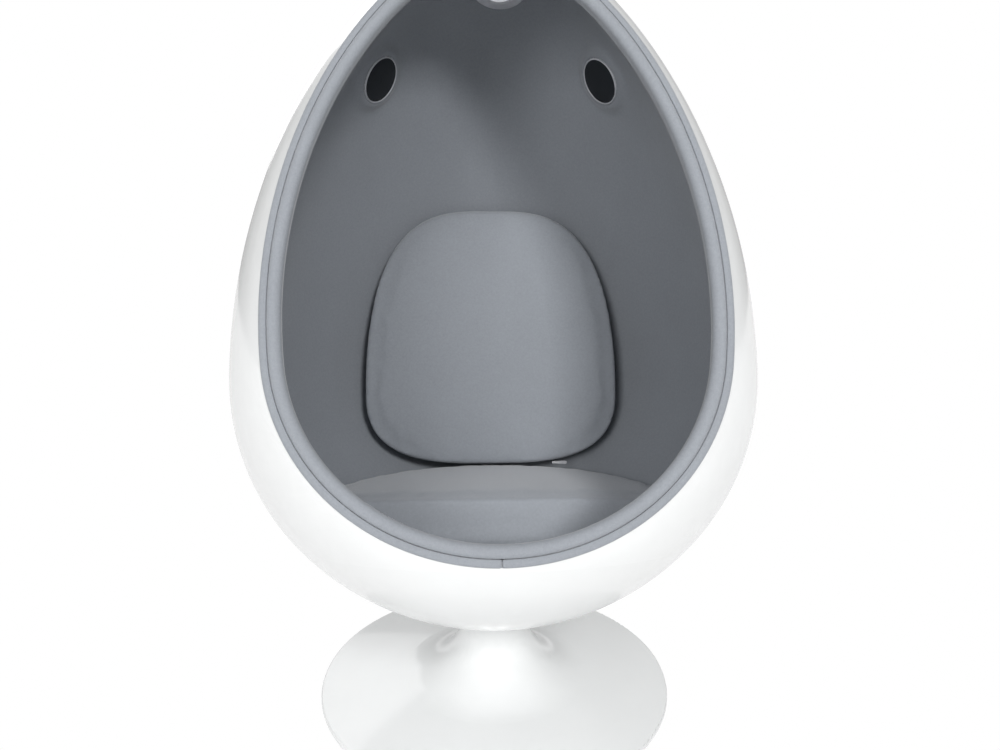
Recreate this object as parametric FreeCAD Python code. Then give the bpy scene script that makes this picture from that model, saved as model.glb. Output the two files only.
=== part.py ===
import FreeCAD
import Part
import math
import os

# Egg-shaped pod chair on a round swivel foot: millimetres, +Z up, the opening faces -Y,
# and the origin is on the floor in the swivel axis.
Vector = FreeCAD.Vector
X_AXIS = Vector(1, 0, 0)
Z_AXIS = Vector(0, 0, 1)
ORIGIN = Vector(0, 0, 0)

# The egg: four tangent arcs turned about its own axis, widest at its equator
EGG_RADIUS = 425.0
EGG_BELOW = 405.4
LOWER_SIDE_RADIUS = 390.0
UPPER_SIDE_RADIUS = 1029.0
TIP_RADIUS = 240.0
EGG_LEAN = 15.0
EGG_HEIGHT = 560.8

# The opening: one plane that leans back across the egg
RIM_POINT = Vector(0, -279.0, 635.5)
RIM_LEAN = 23.7

# Padding foam, cut from flat sheet and glued in as tiles: how many round the egg, and the heights in the
# egg's own frame that part one row of tiles from the next
FOAM_GORES = 16
SMALLEST_TILE = 5000.0
FOAM_ROWS = (-600.0, -373.0, -282.0, -146.0, 20.0, 200.0, 380.0, 540.0, 660.0, 900.0)

# Layers of the wall, from the gel-coated face inwards
SHELL_WALL = 6.0
FOAM_LAYER = 20.0
FABRIC_LAYER = 2.0
GLUE_LINE = 0.1
LINING_SETBACK = 22.0

# Cable hole low in the back of the shell
CABLE_EXIT_ANGLE = -55.0
GROMMET_RADIUS = 11.0

# Rim trim: a flat fabric-covered band on the cut edge and a padded roll inside it
BAND_WIDTH = 10.8
BAND_HEIGHT = 4.6
BAND_JOINT = 0.6
ROLL_START = 11.2
ROLL_END = 29.0
ROLL_CROWN = 7.5
RIM_STATIONS = 40

# Foot: a thin flared cover over a steel floor plate and a welded column
FOOT_RADIUS = 311.6
FOOT_SLOPE = 4.5
COVER_WALL = 3.0
EDGE_TOP = 9.0
EDGE_ROUND = 3.0
FLARE_RADIUS = 116.0
NECK_RADIUS = 57.0
NECK_TOP = 154.3
RING_HEIGHT = 3.0
PLATE_RADIUS = 300.0
PLATE_TOP = 6.0
COLUMN_FOOT_RADIUS = 90.0
COLUMN_FOOT_TOP = 16.0
COLUMN_RADIUS = 27.0
COLUMN_TOP = 125.5
SCREW_CIRCLE = 76.0

# Swivel: a shaft in two bushes and a caged thrust bearing
SHAFT_RADIUS = 15.0
RUNNING_FIT = 0.05
BUSH_RADIUS = 19.0
BUSH_HEIGHT = 30.0
BALL_RADIUS = 5.0
BALL_CIRCLE = 30.0
BALL_COUNT = 12
BALL_HEIGHT = 134.0
RACE_INNER = 22.5
RACE_OUTER = 37.5
RACE_GAP = 3.0
CAGE_HALF = 1.4
FLANGE_BOTTOM = 142.5
FLANGE_TOP = 150.0
FLANGE_RADIUS = 50.0
BOLT_CIRCLE = 38.0
BOLT_COUNT = 4
BOLT_RADIUS = 4.0
BACKING_TOP = 171.0

# Loudspeakers in the upper side walls
SPEAKER_RISE = 34.3
SPEAKER_TURN = 72.4
SPEAKER_FACE = 40.0
SPEAKER_MOUTH = 45.5
GRILLE_RADIUS = 40.5
BEZEL_RADIUS = 43.0
MOUND_TOP = 51.0
MOUND_FOOT = 72.0
MOUND_BASE = 23.0
RISER_INNER = 36.0
RISER_OUTER = 45.3
BASKET_LEVEL = 36.0
BASKET_SCREW_CIRCLE = 41.0

# Reading lamp in the roof
LAMP_BACK = 20.0
LAMP_SIDE = 4.0
LAMP_RADIUS = 49.0
LAMP_CAN = 43.0
LAMP_FACE = 50.0
LENS_RADIUS = 27.0

# Loose seat cushion: arcs that follow the bowl, cut by a bowed front panel
SEAT_SLOPE = 9.0
SEAT_CLEARANCE = 5.0
SEAT_TOP = -220.0
SEAT_BOTTOM = -384.0
SEAT_LEVELS = 6
SEAT_FRONT = -62.0
SEAT_FRONT_BOW = 1000.0
SEAT_CORNER = 70.0
SEAT_CROWN_RADIUS = 3200.0
SEAT_CROWN_BACK = 100.0

# Loose back cushion: a crowned pad, bowed to the wall behind it
BACK_LEAN = 13.0
BACK_FOOT = Vector(0, 208.0, 338.5)
BACK_HEIGHT = 530.0
BACK_HALF_WIDTH = 260.0
BACK_THICK = 72.0
BACK_SIDE_THICK = 26.0
BACK_BEND_RADIUS = 1400.0
BACK_WIDEST = 0.29
BACK_STATIONS = 11
ZIP_PULL = Vector(131, 1.2, 6.0)

EGG_PLACE = FreeCAD.Placement(Vector(0, 0, EGG_HEIGHT), FreeCAD.Rotation(X_AXIS, -EGG_LEAN))
RIM_PLACE = FreeCAD.Placement(RIM_POINT, FreeCAD.Rotation(X_AXIS, 90.0 - RIM_LEAN))
RIM_NORMAL = RIM_PLACE.Rotation.multVec(Z_AXIS)

parts = {}


# Plain building steps
def outline(start, *steps):
    """Closed face in the X-Z plane: a step is one point for a line, or two for an arc through the first."""
    place = lambda point: Vector(point[0], 0, point[1])
    edges = []
    last = place(start)
    for step in steps:
        if isinstance(step[0], tuple):
            end = place(step[1])
            edges.append(Part.Arc(last, place(step[0]), end).toShape())
        else:
            end = place(step)
            edges.append(Part.LineSegment(last, end).toShape())
        last = end
    if not last.isEqual(place(start), 1e-6):
        edges.append(Part.LineSegment(last, place(start)).toShape())
    return Part.Face(Part.Wire(edges))


def turned(start, *steps):
    """Solid turned about Z from an outline of radius and height."""
    return outline(start, *steps).revolve(ORIGIN, Z_AXIS, 360)


def ring(inner, outer, bottom, top):
    return turned((inner, bottom), (outer, bottom), (outer, top), (inner, top))


def disc(radius, bottom, top, x=0.0, y=0.0):
    return Part.makeCylinder(radius, top - bottom, Vector(x, y, bottom))


def dome_middle(radius, edge, rise):
    """Middle point of the arc that caps a disc about Z, from the axis out to its edge."""
    ball = (radius**2 + rise**2) / (2 * rise)
    half = math.asin(radius / ball) / 2
    return ball * math.sin(half), edge + rise - ball * (1 - math.cos(half))


def dome(radius, edge, rise, thick):
    """Thin cap about Z."""
    return turned(
        (0, edge + rise),
        (dome_middle(radius, edge, rise), (radius, edge)),
        (radius, edge + thick),
        (dome_middle(radius, edge + thick, rise), (0, edge + rise + thick)),
    )


def around(count, radius, first=0.0):
    """Evenly spaced points on a circle about Z."""
    turns = [math.radians(first + 360.0 * k / count) for k in range(count)]
    return [(radius * math.cos(turn), radius * math.sin(turn)) for turn in turns]


def moved(shape, placement):
    copy = shape.copy()
    copy.Placement = placement.multiply(copy.Placement)
    return copy


def joined(shapes):
    return shapes[0].fuse(shapes[1:]).removeSplitter()


def keep(name, shape):
    parts[name] = shape


# The egg and the plane of its opening
def arc_edge(centre, radius, start, end):
    def point(angle):
        turn = math.radians(angle)
        return Vector(centre[0] + radius * math.cos(turn), 0, centre[1] + radius * math.sin(turn))

    return Part.Arc(point(start), point((start + end) / 2), point(end)).toShape()


def egg_arcs():
    """Centre, radius and end angles of the four arcs, from the bottom pole to the top one."""
    reach = EGG_RADIUS - LOWER_SIDE_RADIUS
    bottom_radius = (EGG_BELOW**2 + reach**2 - LOWER_SIDE_RADIUS**2) / (2 * (EGG_BELOW - LOWER_SIDE_RADIUS))
    bottom_centre = bottom_radius - EGG_BELOW
    bottom_join = -math.degrees(math.atan2(bottom_centre, reach))
    side_reach = UPPER_SIDE_RADIUS - EGG_RADIUS
    tip_centre = math.sqrt((UPPER_SIDE_RADIUS - TIP_RADIUS) ** 2 - side_reach**2)
    tip_join = math.degrees(math.atan2(tip_centre, side_reach))
    return [
        ((0.0, bottom_centre), bottom_radius, -90.0, bottom_join),
        ((reach, 0.0), LOWER_SIDE_RADIUS, bottom_join, 0.0),
        ((-side_reach, 0.0), UPPER_SIDE_RADIUS, 0.0, tip_join),
        ((0.0, tip_centre), TIP_RADIUS, tip_join, 90.0),
    ]


EGG_ARCS = egg_arcs()
BOWL_CENTRE = EGG_PLACE.multVec(Vector(0, 0, EGG_ARCS[0][0][1]))
BOWL_RADIUS = EGG_ARCS[0][1]
TIP_CENTRE = Vector(0, 0, EGG_ARCS[3][0][1])


def egg(inset):
    """Solid egg in its place, its skin lying inset inside the gel-coated face."""
    edges = [arc_edge(centre, radius - inset, start, end) for centre, radius, start, end in EGG_ARCS]
    poles = Part.makeLine(edges[-1].Vertexes[-1].Point, edges[0].Vertexes[0].Point)
    profile = Part.Face(Part.Wire(edges + [poles]))
    return moved(profile.revolve(ORIGIN, Z_AXIS, 360), EGG_PLACE)


def behind_rim(shape, setback=0.0):
    """What lies behind the plane of the opening, moved back by setback."""
    size = 4 * EGG_RADIUS + 2 * EGG_HEIGHT
    block = Part.makeBox(size, size, size, Vector(-size / 2, -size / 2, -size - setback))
    return shape.common(moved(block, RIM_PLACE))


def wall_layer(outer_inset, inner_inset, setback):
    return behind_rim(egg(outer_inset).cut(egg(inner_inset)), setback)


# Fittings that stand in the wall: local Z points into the pod, zero on the gel-coated face
def wall_fitting_place(point, outward):
    """Placement from a point and an outward normal, both given in the egg's own frame."""
    inward = EGG_PLACE.Rotation.multVec(outward).negative()
    return FreeCAD.Placement(EGG_PLACE.multVec(point), FreeCAD.Rotation(Z_AXIS, inward))


def speaker_place(side):
    rise = math.radians(SPEAKER_RISE)
    turn = math.radians(SPEAKER_TURN)
    across = Vector(side * math.sin(turn), math.cos(turn), 0)
    centre, radius = EGG_ARCS[2][0], EGG_ARCS[2][1]
    reach = centre[0] + radius * math.cos(rise)
    point = across * reach + Z_AXIS * (radius * math.sin(rise))
    outward = across * math.cos(rise) + Z_AXIS * math.sin(rise)
    return wall_fitting_place(point, outward)


def lamp_place():
    back = math.radians(LAMP_BACK - EGG_LEAN)
    side = math.radians(LAMP_SIDE)
    outward = Vector(math.sin(side), math.sin(back), math.cos(back) * math.cos(side)).normalize()
    return wall_fitting_place(TIP_CENTRE + outward * TIP_RADIUS, outward)


SPEAKERS = {"left": speaker_place(-1), "right": speaker_place(1)}
LAMP = lamp_place()


def cable_place():
    turn = math.radians(CABLE_EXIT_ANGLE)
    outward = Vector(0, math.cos(turn), math.sin(turn))
    return wall_fitting_place(Vector(0, 0, EGG_ARCS[0][0][1]) + outward * BOWL_RADIUS, outward)


# Foot
def cover_profile(inset):
    """Points of the flared cover's skin: edge, slope, flare and neck, moved inwards by inset."""
    slope = math.radians(FOOT_SLOPE)
    flare = FLARE_RADIUS + inset
    centre_r = NECK_RADIUS + FLARE_RADIUS
    slope_end_r = centre_r - FLARE_RADIUS * math.sin(slope)
    slope_end_z = EDGE_TOP + (FOOT_RADIUS - EDGE_ROUND - slope_end_r) * math.tan(slope)
    centre_z = slope_end_z + FLARE_RADIUS * math.cos(slope)
    on_flare = lambda angle: (centre_r - flare * math.cos(angle), centre_z - flare * math.sin(angle))
    return {
        "slope_end": on_flare(math.pi / 2 - slope),
        "flare_middle": on_flare((math.pi / 2 - slope) / 2),
        "flare_top": (NECK_RADIUS - inset, centre_z),
    }


def base_cover():
    outer = cover_profile(0.0)
    inner = cover_profile(COVER_WALL)
    corner = EDGE_ROUND * (1 - math.sqrt(0.5))
    edge_inside = FOOT_RADIUS - COVER_WALL
    slope_drop = (edge_inside - inner["slope_end"][0]) * math.tan(math.radians(FOOT_SLOPE))
    return turned(
        (FOOT_RADIUS, RING_HEIGHT),
        (FOOT_RADIUS, EDGE_TOP - EDGE_ROUND),
        ((FOOT_RADIUS - corner, EDGE_TOP - corner), (FOOT_RADIUS - EDGE_ROUND, EDGE_TOP)),
        outer["slope_end"],
        (outer["flare_middle"], outer["flare_top"]),
        (NECK_RADIUS, NECK_TOP - 1),
        (NECK_RADIUS - 1, NECK_TOP),
        (NECK_RADIUS - COVER_WALL, NECK_TOP),
        inner["flare_top"],
        (inner["flare_middle"], inner["slope_end"]),
        (edge_inside, inner["slope_end"][1] - slope_drop),
        (edge_inside, RING_HEIGHT),
    )


def foot():
    keep("base_cover", base_cover())
    keep("foot_ring", turned(
        (PLATE_RADIUS - 12, 0), (FOOT_RADIUS - 2, 0), (FOOT_RADIUS - 1, 1),
        (FOOT_RADIUS - 1, RING_HEIGHT), (PLATE_RADIUS - 12, RING_HEIGHT),
    ))
    plate = disc(PLATE_RADIUS, RING_HEIGHT, PLATE_TOP)
    column = turned(
        (BUSH_RADIUS, PLATE_TOP),
        (COLUMN_FOOT_RADIUS, PLATE_TOP),
        (COLUMN_FOOT_RADIUS, COLUMN_FOOT_TOP),
        (COLUMN_RADIUS, COLUMN_FOOT_TOP),
        (COLUMN_RADIUS, COLUMN_TOP - 12),
        (RACE_OUTER + 1, COLUMN_TOP - 6),
        (RACE_OUTER + 1, COLUMN_TOP),
        (BUSH_RADIUS, COLUMN_TOP),
    )
    rib = outline(
        (COLUMN_RADIUS - 2, COLUMN_FOOT_TOP - 1),
        (COLUMN_FOOT_RADIUS - 6, COLUMN_FOOT_TOP - 1),
        (COLUMN_FOOT_RADIUS - 6, COLUMN_FOOT_TOP + 4),
        (COLUMN_RADIUS + 5, COLUMN_TOP - 40),
        (COLUMN_RADIUS - 2, COLUMN_TOP - 40),
    ).extrude(Vector(0, 6, 0))
    rib.translate(Vector(0, -3, 0))
    ribs = [rib.rotated(ORIGIN, Z_AXIS, 45 + 90 * k) for k in range(4)]
    screws = []
    for x, y in around(4, SCREW_CIRCLE):
        hole = disc(4.0, RING_HEIGHT, COLUMN_FOOT_TOP, x, y)
        plate = plate.cut(hole)
        column = column.cut(hole)
        screws.append(hole.fuse(hexagon_head(x, y, COLUMN_FOOT_TOP, 5.5)))
    keep("floor_plate", plate)
    keep("column", joined([column] + ribs))
    keep("column_screws", Part.Compound(screws))


def hexagon_head(x, y, bottom, height, across_corners=13.0):
    corners = [Vector(x + px, y + py, bottom) for px, py in around(6, across_corners / 2)]
    return Part.Face(Part.makePolygon(corners + corners[:1])).extrude(Vector(0, 0, height))


# Swivel
def ball_track():
    return Part.makeTorus(BALL_CIRCLE, BALL_RADIUS + RUNNING_FIT, Vector(0, 0, BALL_HEIGHT), Z_AXIS)


def swivel():
    keep("lower_bush", ring(SHAFT_RADIUS + RUNNING_FIT, BUSH_RADIUS, 20, 20 + BUSH_HEIGHT))
    keep("upper_bush", ring(SHAFT_RADIUS + RUNNING_FIT, BUSH_RADIUS, COLUMN_TOP - BUSH_HEIGHT, COLUMN_TOP))
    keep("lower_race", ring(RACE_INNER, RACE_OUTER, COLUMN_TOP, BALL_HEIGHT - RACE_GAP).cut(ball_track()))
    keep("upper_race", ring(RACE_INNER, RACE_OUTER, BALL_HEIGHT + RACE_GAP, FLANGE_BOTTOM).cut(ball_track()))
    cage = ring(RACE_INNER + 1, RACE_OUTER - 1, BALL_HEIGHT - CAGE_HALF, BALL_HEIGHT + CAGE_HALF)
    balls = []
    for x, y in around(BALL_COUNT, BALL_CIRCLE):
        pocket = BALL_RADIUS + 2 * RUNNING_FIT
        cage = cage.cut(disc(pocket, BALL_HEIGHT - BALL_RADIUS, BALL_HEIGHT + BALL_RADIUS, x, y))
        balls.append(Part.makeSphere(BALL_RADIUS, Vector(x, y, BALL_HEIGHT)))
    keep("ball_cage", cage)
    keep("thrust_balls", Part.Compound(balls))
    clip_bottom = 14.5
    keep("spindle", turned(
        (0, 10), (SHAFT_RADIUS - 1, 10), (SHAFT_RADIUS, 11), (SHAFT_RADIUS, clip_bottom),
        (SHAFT_RADIUS - 1.5, clip_bottom), (SHAFT_RADIUS - 1.5, clip_bottom + 1.6),
        (SHAFT_RADIUS, clip_bottom + 1.6), (SHAFT_RADIUS, FLANGE_TOP), (0, FLANGE_TOP),
    ))
    clip = ring(SHAFT_RADIUS - 1.45, BUSH_RADIUS - 1, clip_bottom + 0.05, clip_bottom + 1.55)
    opening = Part.makeBox(2 * BUSH_RADIUS, 12, 4, Vector(0, -6, clip_bottom - 1))
    keep("retaining_clip", clip.cut(opening))
    keep("retaining_washer", ring(SHAFT_RADIUS + 0.1, BUSH_RADIUS - 0.5, clip_bottom + 1.65, 19.5))
    mounting()


def mounting():
    """What carries the pod: flange, shaped pad, backing plate inside the shell, and the bolts."""
    flange = ring(SHAFT_RADIUS, FLANGE_RADIUS, FLANGE_BOTTOM, FLANGE_TOP)
    pad = disc(FLANGE_RADIUS, FLANGE_TOP, BACKING_TOP).cut(egg(0.0))
    backing = disc(FLANGE_RADIUS, FLANGE_TOP, BACKING_TOP).common(egg(SHELL_WALL))
    bolts = []
    for x, y in around(BOLT_COUNT, BOLT_CIRCLE, 45.0):
        shank = disc(BOLT_RADIUS, FLANGE_BOTTOM + 1, BACKING_TOP, x, y)
        flange = flange.cut(shank)
        pad = pad.cut(shank)
        backing = backing.cut(shank)
        bolts.append(shank.fuse(hexagon_head(x, y, BACKING_TOP, 5.0)))
    keep("pivot_flange", flange)
    keep("saddle_pad", pad)
    keep("backing_plate", backing)
    keep("pivot_bolts", Part.Compound(bolts))


# Pod wall
def egg_shell():
    shell = wall_layer(0.0, SHELL_WALL, 0.0)
    for x, y in around(BOLT_COUNT, BOLT_CIRCLE, 45.0):
        shell = shell.cut(disc(BOLT_RADIUS, FLANGE_BOTTOM, BACKING_TOP, x, y))
    return shell.cut(moved(disc(GROMMET_RADIUS, -SHELL_WALL, 2 * SHELL_WALL), cable_place()))


def cable_grommet():
    """Rubber grommet that lines the cable hole low in the back of the shell."""
    lip = GROMMET_RADIUS + 4
    body = ring(GROMMET_RADIUS - 4, lip, -2.5, SHELL_WALL + 2.5)
    wall = egg(-0.2).cut(egg(SHELL_WALL + 0.2))
    bore = moved(disc(GROMMET_RADIUS, -SHELL_WALL, 2 * SHELL_WALL), cable_place())
    return moved(body, cable_place()).cut(wall.cut(bore))


def mound(shrink):
    """Low cone that carries the lining up to a loudspeaker's bezel."""
    return turned(
        (0, MOUND_BASE - 10), (MOUND_FOOT - shrink, MOUND_BASE - 10), (MOUND_FOOT - shrink, MOUND_BASE - shrink),
        (MOUND_TOP - shrink / 2, SPEAKER_FACE - shrink), (0, SPEAKER_FACE - shrink),
    )


def tiles(layer):
    """The layer cut into rows across the egg's axis, and each row into tiles round it, without the offcuts."""
    turn = 360.0 / FOAM_GORES
    pieces = []
    for bottom, top in zip(FOAM_ROWS, FOAM_ROWS[1:]):
        row = layer.common(moved(disc(2 * EGG_RADIUS, bottom, top), EGG_PLACE))
        for k in range(FOAM_GORES):
            wedge = Part.makeCylinder(2 * EGG_RADIUS, top - bottom, Vector(0, 0, bottom), Z_AXIS, turn)
            pieces += row.common(moved(wedge.rotated(ORIGIN, Z_AXIS, turn * k), EGG_PLACE)).Solids
    return [piece for piece in pieces if piece.Volume > SMALLEST_TILE]


def lining():
    foam_face = SHELL_WALL + GLUE_LINE
    fabric_face = SHELL_WALL + FOAM_LAYER + GLUE_LINE
    inner_face = SHELL_WALL + FOAM_LAYER + FABRIC_LAYER
    foam = wall_layer(foam_face, fabric_face - GLUE_LINE, LINING_SETBACK)
    fabric = wall_layer(fabric_face, inner_face, LINING_SETBACK)
    riser_hole = disc(RISER_OUTER + GLUE_LINE, -10, 60)
    mouth = disc(SPEAKER_MOUTH, -10, 60)
    for place in SPEAKERS.values():
        core = moved(mound(FABRIC_LAYER + GLUE_LINE), place)
        foam = foam.fuse(core.common(egg(foam_face))).cut(moved(riser_hole, place))
        skin = moved(mound(0.0), place).cut(moved(mound(FABRIC_LAYER), place)).common(egg(fabric_face))
        fabric = fabric.cut(moved(mound(FABRIC_LAYER), place)).fuse(skin).cut(moved(mouth, place))
    lamp_hole = moved(disc(LAMP_CAN + GLUE_LINE, -10, 60), LAMP)
    pocket = disc(FLANGE_RADIUS + 4, FLANGE_TOP, BACKING_TOP + 20)
    foam = foam.cut([lamp_hole, pocket.common(egg(0)), moved(disc(20, -20, 12), cable_place())])
    keep("liner_foam", Part.Compound(tiles(foam)))
    keep("liner_fabric", fabric.cut(lamp_hole))


# Rim trim
def rim_path(gap=0.0):
    """Smooth curve along the shell's outer edge in the plane of the opening, with a gap at its lowest point."""
    plane_distance = RIM_NORMAL.dot(RIM_POINT)
    section = egg(0.0).slice(RIM_NORMAL, plane_distance)[0]
    points = section.discretize(Number=12 * RIM_STATIONS)[:-1]
    lowest = min(range(len(points)), key=lambda k: points[k].z)
    points = (points[lowest:] + points[:lowest])[::12]
    curve = Part.BSplineCurve()
    curve.interpolate(Points=points, PeriodicFlag=True)
    if not gap:
        return Part.Wire(curve.toShape())
    trim = gap / 2 / curve.length() * (curve.LastParameter - curve.FirstParameter)
    return Part.Wire(curve.toShape(curve.FirstParameter + trim, curve.LastParameter - trim))


def swept_on_rim(section, gap=0.0):
    """Sweep an outline of inward distance and height above the plane along the shell's edge."""
    path = rim_path(gap)
    first = path.Edges[0]
    start = first.valueAt(first.FirstParameter)
    tangent = first.tangentAt(first.FirstParameter)
    inward = RIM_NORMAL.cross(tangent).normalize()
    if inward.dot(RIM_POINT - start) < 0:
        inward = inward.negative()
    along = RIM_NORMAL.cross(inward)
    place = FreeCAD.Matrix(
        inward.x, along.x, RIM_NORMAL.x, start.x,
        inward.y, along.y, RIM_NORMAL.y, start.y,
        inward.z, along.z, RIM_NORMAL.z, start.z,
    )
    wire = section.OuterWire.copy()
    wire.transformShape(place)
    sweep = Part.BRepOffsetAPI.MakePipeShell(path)
    sweep.setBiNormalMode(RIM_NORMAL)
    sweep.add(wire)
    sweep.build()
    sweep.makeSolid()
    return sweep.shape()


def rim_trim():
    band = outline(
        (0, 0.1), (BAND_WIDTH, 0.1), (BAND_WIDTH, BAND_HEIGHT - 0.8),
        ((BAND_WIDTH - 0.3, BAND_HEIGHT - 0.2), (BAND_WIDTH - 1.2, BAND_HEIGHT)),
        ((BAND_WIDTH / 2 - 1, BAND_HEIGHT + 0.4), (2.6, BAND_HEIGHT - 0.6)),
        ((0.5, BAND_HEIGHT / 2), (0, 0.1)),
    )
    keep("rim_band", swept_on_rim(band, BAND_JOINT))
    roll = outline(
        (4.5, 0.2 - LINING_SETBACK), (19, 0.2 - LINING_SETBACK),
        ((26.6, -15), (ROLL_END, -6)),
        ((ROLL_END - 2.2, 4.0), (ROLL_START + 9, ROLL_CROWN)),
        ((ROLL_START + 3.2, 5.2), (ROLL_START, 0.5)),
        (ROLL_START, -6),
    )
    keep("rim_roll", swept_on_rim(roll))


# Loudspeakers, each part turned about the local Z
def speaker_parts():
    front = BASKET_LEVEL + 1.2
    screws = []
    for x, y in around(4, BASKET_SCREW_CIRCLE, 45.0):
        screws.append(disc(1.6, 26, front - 0.7, x, y).fuse(disc(2.5, front - 0.7, front, x, y)))
    riser = ring(RISER_INNER, RISER_OUTER, 2, BASKET_LEVEL)
    basket = turned(
        (34, BASKET_LEVEL), (44, BASKET_LEVEL), (44, front), (33, front), (33, 31.5), (16.5, 20),
        (8, 20), (8, 18.8), (17, 18.8), (34, 30.5),
    )
    windows = [disc(5.0, 15, 30, x, y) for x, y in around(6, 26.0)]
    for x, y in around(4, BASKET_SCREW_CIRCLE, 45.0):
        hole = disc(1.6, 20, 45, x, y)
        riser = riser.cut(hole)
        basket = basket.cut(hole).cut(disc(2.6, front - 0.7, front + 1, x, y))
    return {
        "riser": riser,
        "basket": basket.cut(windows),
        "magnet": turned((0, 8.5), (17, 8.5), (18, 9.5), (18, 18), (17, 18.7), (0, 18.7)),
        "surround": turned(
            (27.5, 34.2), (29, 34.2), ((31, 36.6), (33, front + 0.1)), (38, front + 0.1), (38, front + 0.8),
            (33, front + 0.8), ((30.5, 37.6), (28.5, 35.0)), (27.5, 35.0),
        ),
        "cone": turned((9.5, 23.4), (10.5, 23.4), (27.3, 34.2), (27.3, 35.2), (9.5, 24.6)),
        "dust_cap": dome(9.4, 23.6, 3.0, 0.8),
        "grille": dome(GRILLE_RADIUS, SPEAKER_FACE + 0.2, 1.6, 1.0),
        "bezel": turned(
            (GRILLE_RADIUS + 0.1, BASKET_LEVEL + 1.3), (RISER_OUTER, BASKET_LEVEL + 1.3),
            (RISER_OUTER, SPEAKER_FACE - 1), (BEZEL_RADIUS, SPEAKER_FACE - 1),
            (BEZEL_RADIUS, SPEAKER_FACE + 1.2),
            ((BEZEL_RADIUS - 1.2, SPEAKER_FACE + 2.4), (GRILLE_RADIUS + 0.1, SPEAKER_FACE + 1.6)),
        ),
        "screws": Part.Compound(screws),
    }


def speakers():
    shapes = speaker_parts()
    cavity = egg(SHELL_WALL + GLUE_LINE)
    for side, place in SPEAKERS.items():
        for piece, shape in shapes.items():
            solid = moved(shape, place)
            if piece == "riser":
                solid = solid.common(cavity)
            keep(f"speaker_{side}_{piece}", solid)


# Reading lamp
def lamp():
    shapes = {
        "housing": turned(
            (0, 11), (LAMP_CAN, 11), (LAMP_CAN, LAMP_FACE - 6),
            (LAMP_CAN - 2, LAMP_FACE - 6), (LAMP_CAN - 2, 13), (0, 13),
        ),
        "board": disc(LAMP_CAN - 4, 34, 35.6),
        "diffuser": dome(LENS_RADIUS, LAMP_FACE - 4.5, 2.4, 2.0),
        "bezel": turned(
            (LENS_RADIUS + 0.1, LAMP_FACE - 5), (LAMP_CAN + 0.1, LAMP_FACE - 5), (LAMP_CAN + 0.1, 32.7),
            (LAMP_RADIUS, 34.3), (LAMP_RADIUS, LAMP_FACE - 7),
            ((LAMP_RADIUS - 2.4, LAMP_FACE - 1.8), (LAMP_RADIUS - 8, LAMP_FACE)),
            (LENS_RADIUS + 6, LAMP_FACE - 0.4),
            ((LENS_RADIUS + 2.5, LAMP_FACE - 1.6), (LENS_RADIUS + 0.1, LAMP_FACE - 4)),
        ),
    }
    for piece, shape in shapes.items():
        keep(f"lamp_{piece}", moved(shape, LAMP))


# Seat cushion
SEAT_PLACE = FreeCAD.Placement(BOWL_CENTRE, FreeCAD.Rotation(X_AXIS, -SEAT_SLOPE))


def seat_outline(level, inset, front):
    """Five arcs at one level: two round the bowl, two corners and the bowed front."""
    lined_radius = BOWL_RADIUS - SHELL_WALL - FOAM_LAYER - FABRIC_LAYER - SEAT_CLEARANCE
    bowl = math.sqrt(lined_radius**2 - level**2) - inset
    bow = SEAT_FRONT_BOW
    bow_centre = front + inset + bow
    corner = min(SEAT_CORNER, bowl / 3)
    y = (bow_centre**2 - (bow - corner) ** 2 + (bowl - corner) ** 2) / (2 * bow_centre)
    x = math.sqrt((bowl - corner) ** 2 - y**2)
    corner_centre = Vector(x, y, level)
    on_bowl = Vector(x, y, 0).normalize()
    on_front = Vector(x, y - bow_centre, 0).normalize()
    between = (on_bowl + on_front).normalize()
    side = corner_centre + on_bowl * corner
    knuckle = corner_centre + between * corner
    front_end = corner_centre + on_front * corner
    flip = lambda point: Vector(-point.x, point.y, point.z)
    turn = (math.pi / 2 + math.atan2(side.y, side.x)) / 2
    quarter = Vector(bowl * math.cos(turn), bowl * math.sin(turn), level)
    back = Vector(0, bowl, level)
    middle = Vector(0, front + inset, level)
    arcs = [
        Part.Arc(flip(front_end), middle, front_end),
        Part.Arc(front_end, knuckle, side),
        Part.Arc(side, quarter, back),
        Part.Arc(back, flip(quarter), flip(side)),
        Part.Arc(flip(side), flip(knuckle), flip(front_end)),
    ]
    return Part.Wire([arc.toShape() for arc in arcs])


def seat_cushion():
    """Stack of outlines, drawn in towards both seams of the boxing, under a wide crown."""
    sections = []
    for k in range(SEAT_LEVELS):
        share = k / (SEAT_LEVELS - 1)
        level = SEAT_BOTTOM + (SEAT_TOP + 8 - SEAT_BOTTOM) * share
        bulge = math.sin(math.pi * share)
        inset = 6.0 * (1 - bulge) if share > 0.5 else 2.0 + 4.0 * (1 - bulge)
        sections.append(seat_outline(level, inset, SEAT_FRONT - 6.0 * bulge))
    body = Part.makeLoft(sections, True, False)
    crown = Part.makeSphere(SEAT_CROWN_RADIUS, Vector(0, SEAT_CROWN_BACK, SEAT_TOP - SEAT_CROWN_RADIUS))
    return moved(body.common(crown), SEAT_PLACE)


# Back cushion
BACK_PLACE = FreeCAD.Placement(BACK_FOOT, FreeCAD.Rotation(X_AXIS, -BACK_LEAN))


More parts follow.
